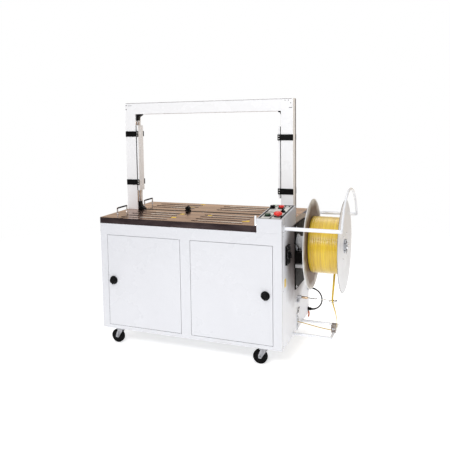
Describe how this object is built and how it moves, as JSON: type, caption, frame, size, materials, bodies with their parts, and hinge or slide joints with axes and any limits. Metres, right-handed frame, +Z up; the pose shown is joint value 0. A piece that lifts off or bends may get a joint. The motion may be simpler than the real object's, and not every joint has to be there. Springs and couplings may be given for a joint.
{
  "type": "arch strapping machine",
  "caption": "Arch strapping machine on casters: steel cabinet with doors, tilting table plates, arch with track gates, sloped console and a guarded side reel of yellow strap.",
  "frame": {"origin": "on the floor under the middle of the whole machine, reel guard and latches included", "axes": "+X to the reel side, +Y from the doors to the rear, +Z up"},
  "size_m": [1.391, 0.684, 1.435],
  "materials": {
    "white_paint": "gloss powder coat",
    "polished_steel": "polished",
    "zinc_steel": "zinc plated",
    "black_plastic": "fine texture",
    "panel_grey": "satin film",
    "red_plastic": "gloss",
    "green_plastic": "gloss",
    "chrome": "plated",
    "black_rubber": "satin",
    "reel_paint": "satin",
    "yellow_strap": "embossed",
    "dark_steel": "blackened",
    "roller_plastic": "smooth",
    "bright_steel": "ground",
    "machine_grey": "satin"
  },
  "bodies": {
    "frame": {"cabinet_frame": "zinc_steel", "front_frame": "white_paint", "left_side_panel": "white_paint", "right_side_panel": "white_paint", "rear_panel": "white_paint", "fixed_deck": "polished_steel", "lower_track": "zinc_steel", "arch_left_column": "white_paint", "arch_right_column": "white_paint", "arch_top_beam": "white_paint", "corner_guides": "black_plastic", "gate_clamps": "black_plastic", "console_box": "white_paint", "console_panel": "panel_grey", "main_switch_box": "black_plastic", "caster_plates": "chrome", "reel_mount": "dark_steel", "reel_guard": "white_paint", "lower_guide_frame": "white_paint", "strap_inlet": "white_paint", "strap_run": "yellow_strap", "cable_fittings": "black_plastic", "power_cable": "black_rubber", "sealing_head": "dark_steel", "feed_frame": "machine_grey", "control_box": "machine_grey"},
    "front_plate": {"table_front_plate": "polished_steel"},
    "rear_plate": {"table_rear_plate": "polished_steel"},
    "anvil": {"anvil_slide": "black_plastic"},
    "reel": {"reel_hub": "reel_paint", "outer_flange": "reel_paint", "strap_winding": "yellow_strap", "hub_lock": "dark_steel"},
    "left_front_gate": {"left_front_gate": "white_paint"},
    "left_rear_gate": {"left_rear_gate": "white_paint"},
    "right_front_gate": {"right_front_gate": "white_paint"},
    "right_rear_gate": {"right_rear_gate": "white_paint"},
    "emergency_button": {"emergency_button": "red_plastic"},
    "stop_button": {"stop_button": "red_plastic"},
    "start_button": {"start_button": "green_plastic"},
    "tension_knob": {"tension_knob": "black_plastic"},
    "mode_selector": {"mode_selector": "black_plastic"},
    "main_switch_knob": {"main_switch_knob": "black_plastic"},
    "left_door": {"left_door": "white_paint"},
    "right_door": {"right_door": "white_paint"},
    "left_latch": {"left_latch": "black_plastic"},
    "right_latch": {"right_latch": "black_plastic"},
    "front_left_fork": {"front_left_fork": "chrome"},
    "front_right_fork": {"front_right_fork": "chrome"},
    "rear_left_fork": {"rear_left_fork": "chrome"},
    "rear_right_fork": {"rear_right_fork": "chrome"},
    "front_left_wheel": {"front_left_wheel": "black_rubber"},
    "front_right_wheel": {"front_right_wheel": "black_rubber"},
    "rear_left_wheel": {"rear_left_wheel": "black_rubber"},
    "rear_right_wheel": {"rear_right_wheel": "black_rubber"},
    "guide_roller": {"guide_roller": "roller_plastic"},
    "guide_arm": {"guide_arm": "bright_steel"},
    "cam_shaft": {"cam_shaft": "bright_steel"},
    "feed_roller": {"feed_roller": "black_rubber"},
    "pinch_roller": {"pinch_roller": "bright_steel"}
  },
  "joints": [
    {"name": "left_door_hinge", "type": "hinge", "parent": "frame", "child": "left_door", "pos_m": [-0.1925, -0.313, 0.395], "axis": [0, 0, 1], "range_deg": [0, 90]},
    {"name": "right_door_hinge", "type": "hinge", "parent": "frame", "child": "right_door", "pos_m": [-0.1145, -0.313, 0.395], "axis": [0, 0, -1], "range_deg": [0, 90]},
    {"name": "left_latch_turn", "type": "hinge", "parent": "left_door", "child": "left_latch", "pos_m": [-0.6135, -0.318, 0.396], "axis": [0, 1, 0], "range_deg": [0, 90]},
    {"name": "right_latch_turn", "type": "hinge", "parent": "right_door", "child": "right_latch", "pos_m": [0.3055, -0.318, 0.396], "axis": [0, 1, 0], "range_deg": [0, 90]},
    {"name": "front_plate_hinge", "type": "hinge", "parent": "frame", "child": "front_plate", "pos_m": [-0.2185, -0.318, 0.73], "axis": [1, 0, 0], "range_deg": [0, 80]},
    {"name": "rear_plate_hinge", "type": "hinge", "parent": "frame", "child": "rear_plate", "pos_m": [-0.2185, 0.342, 0.73], "axis": [-1, 0, 0], "range_deg": [0, 80]},
    {"name": "anvil_travel", "type": "slide", "parent": "frame", "child": "anvil", "axis": [0, -1, 0], "range_m": [0, 0.012]},
    {"name": "left_front_gate_hinge", "type": "hinge", "parent": "frame", "child": "left_front_gate", "pos_m": [-0.6175, 0.007, 1.09], "axis": [0, 0, -1], "range_deg": [0, 10], "stiffness_Nm_per_rad": 1},
    {"name": "left_rear_gate_hinge", "type": "hinge", "parent": "frame", "child": "left_rear_gate", "pos_m": [-0.6175, 0.067, 1.09], "axis": [0, 0, 1], "range_deg": [0, 10], "stiffness_Nm_per_rad": 1},
    {"name": "right_front_gate_hinge", "type": "hinge", "parent": "frame", "child": "right_front_gate", "pos_m": [0.3065, 0.007, 1.09], "axis": [0, 0, 1], "range_deg": [0, 10], "stiffness_Nm_per_rad": 1},
    {"name": "right_rear_gate_hinge", "type": "hinge", "parent": "frame", "child": "right_rear_gate", "pos_m": [0.3065, 0.067, 1.09], "axis": [0, 0, -1], "range_deg": [0, 10], "stiffness_Nm_per_rad": 1},
    {"name": "emergency_push", "type": "slide", "parent": "frame", "child": "emergency_button", "axis": [0, 0.0908, -0.9959], "range_m": [0, 0.005]},
    {"name": "stop_push", "type": "slide", "parent": "frame", "child": "stop_button", "axis": [0, 0.0908, -0.9959], "range_m": [0, 0.004], "stiffness_N_per_m": 400, "springref_m": -0.002},
    {"name": "start_push", "type": "slide", "parent": "frame", "child": "start_button", "axis": [0, 0.0908, -0.9959], "range_m": [0, 0.003], "stiffness_N_per_m": 400, "springref_m": -0.002},
    {"name": "tension_turn", "type": "hinge", "parent": "frame", "child": "tension_knob", "pos_m": [0.2845, -0.09, 0.82379], "axis": [0, -0.0908, 0.9959], "range_deg": [0, 270]},
    {"name": "selector_turn", "type": "hinge", "parent": "frame", "child": "mode_selector", "pos_m": [0.3605, -0.157, 0.81768], "axis": [0, -0.0908, 0.9959], "range_deg": [0, 90]},
    {"name": "main_switch_turn", "type": "hinge", "parent": "frame", "child": "main_switch_knob", "pos_m": [0.3945, -0.205, 0.597], "axis": [1, 0, 0], "range_deg": [0, 90]},
    {"name": "front_left_swivel", "type": "hinge", "parent": "frame", "child": "front_left_fork", "pos_m": [-0.6005, -0.261, 0.092], "axis": [0, 0, 1], "continuous": true},
    {"name": "front_left_roll", "type": "hinge", "parent": "front_left_fork", "child": "front_left_wheel", "pos_m": [-0.6285, -0.261, 0.04], "axis": [0, 1, 0], "continuous": true},
    {"name": "front_right_swivel", "type": "hinge", "parent": "frame", "child": "front_right_fork", "pos_m": [0.2865, -0.261, 0.092], "axis": [0, 0, 1], "continuous": true},
    {"name": "front_right_roll", "type": "hinge", "parent": "front_right_fork", "child": "front_right_wheel", "pos_m": [0.2585, -0.261, 0.04], "axis": [0, 1, 0], "continuous": true},
    {"name": "rear_left_swivel", "type": "hinge", "parent": "frame", "child": "rear_left_fork", "pos_m": [-0.6005, 0.285, 0.092], "axis": [0, 0, 1], "continuous": true},
    {"name": "rear_left_roll", "type": "hinge", "parent": "rear_left_fork", "child": "rear_left_wheel", "pos_m": [-0.6285, 0.285, 0.04], "axis": [0, 1, 0], "continuous": true},
    {"name": "rear_right_swivel", "type": "hinge", "parent": "frame", "child": "rear_right_fork", "pos_m": [0.2865, 0.285, 0.092], "axis": [0, 0, 1], "continuous": true},
    {"name": "rear_right_roll", "type": "hinge", "parent": "rear_right_fork", "child": "rear_right_wheel", "pos_m": [0.2585, 0.285, 0.04], "axis": [0, 1, 0], "continuous": true},
    {"name": "reel_spin", "type": "hinge", "parent": "frame", "child": "reel", "pos_m": [0.4855, 0.023, 0.614], "axis": [1, 0, 0], "continuous": true},
    {"name": "guide_roller_spin", "type": "hinge", "parent": "frame", "child": "guide_roller", "pos_m": [0.6045, 0.028, 0.14], "axis": [0, 1, 0], "continuous": true},
    {"name": "guide_arm_swing", "type": "hinge", "parent": "frame", "child": "guide_arm", "pos_m": [0.4065, 0.0495, 0.29], "axis": [0, -1, 0], "range_deg": [-4, 4], "stiffness_Nm_per_rad": 8},
    {"name": "cam_shaft_spin", "type": "hinge", "parent": "frame", "child": "cam_shaft", "pos_m": [-0.2255, 0.072, 0.6], "axis": [1, 0, 0], "continuous": true},
    {"name": "feed_roller_spin", "type": "hinge", "parent": "frame", "child": "feed_roller", "pos_m": [0.0045, 0.028, 0.56], "axis": [0, 1, 0], "continuous": true},
    {"name": "pinch_roller_spin", "type": "hinge", "parent": "frame", "child": "pinch_roller", "pos_m": [0.0045, 0.028, 0.6088], "axis": [0, 1, 0], "continuous": true}
  ],
  "couplings": [
    {"joint": "pinch_roller_spin", "follows": "feed_roller_spin", "ratio": -1.6667}
  ]
}
